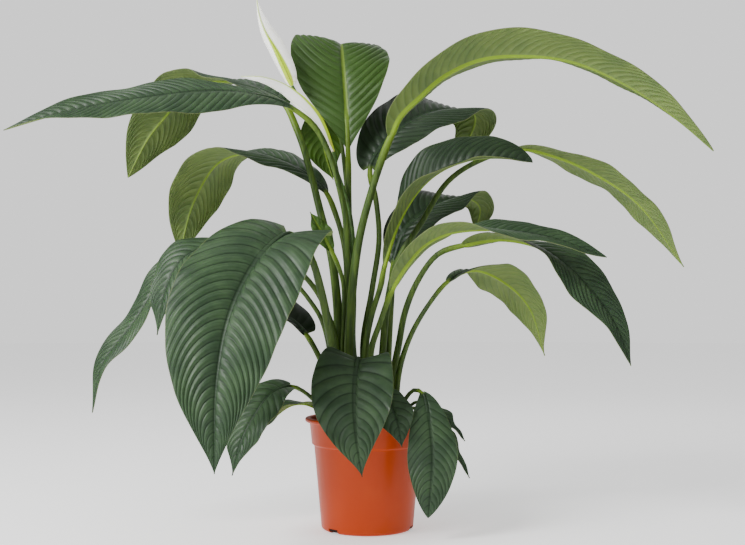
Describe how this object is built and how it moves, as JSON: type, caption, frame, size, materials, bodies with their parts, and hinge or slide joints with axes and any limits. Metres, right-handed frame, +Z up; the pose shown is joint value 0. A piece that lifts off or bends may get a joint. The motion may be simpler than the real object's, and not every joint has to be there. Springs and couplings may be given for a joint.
{
  "type": "potted peace lily",
  "caption": "Large peace lily with long arching ribbed leaves and white hooded blooms, growing in a thin terracotta-coloured plastic nursery pot of soil.",
  "frame": {"origin": "middle of the pot's flat underside, on the surface it stands on", "axes": "+Z up along the pot's axis; +X to the right as seen from the front; -Y towards the front, where the broadest leaves hang over the pot"},
  "size_m": [1.2984, 0.6118, 1.0311],
  "materials": {
    "pot_plastic": "satin moulded terracotta-coloured polypropylene",
    "potting_soil": "crumbly dark peat",
    "leaf_green": "satin upper face, matt paler underside",
    "bloom_stalk": "satin",
    "bloom_hood": "soft satin white with a yellow-green midrib",
    "bloom_spike": "matt, bumpy"
  },
  "bodies": {
    "root": {"pot": "pot_plastic", "soil": "potting_soil", "leaf_left_long": "leaf_green", "leaf_left_upper_back": "leaf_green", "leaf_left_middle_back": "leaf_green", "leaf_front_left_broad": "leaf_green", "leaf_left_outer_drooping": "leaf_green", "leaf_left_inner_drooping": "leaf_green", "leaf_top_centre": "leaf_green", "leaf_right_high_arch": "leaf_green", "leaf_right_upper_back": "leaf_green", "leaf_right_inner_arch": "leaf_green", "leaf_right_far_tip": "leaf_green", "leaf_right_middle_back": "leaf_green", "leaf_right_long_low": "leaf_green", "leaf_right_drooping": "leaf_green", "leaf_right_lower_arch": "leaf_green", "leaf_front_centre": "leaf_green", "leaf_front_left_low": "leaf_green", "leaf_left_low_slim": "leaf_green", "leaf_front_right_low": "leaf_green", "leaf_front_right_inner": "leaf_green", "leaf_right_low_outer": "leaf_green", "leaf_right_low_under": "leaf_green", "leaf_young_rolled": "leaf_green", "leaf_left_low_back": "leaf_green", "leaf_centre_hanging": "leaf_green", "bloom_upright_stalk": "bloom_stalk", "bloom_upright_hood": "bloom_hood", "bloom_upright_spike": "bloom_spike", "bloom_leaning_stalk": "bloom_stalk", "bloom_leaning_hood": "bloom_hood", "bloom_leaning_spike": "bloom_spike"}
  },
  "joints": []
}
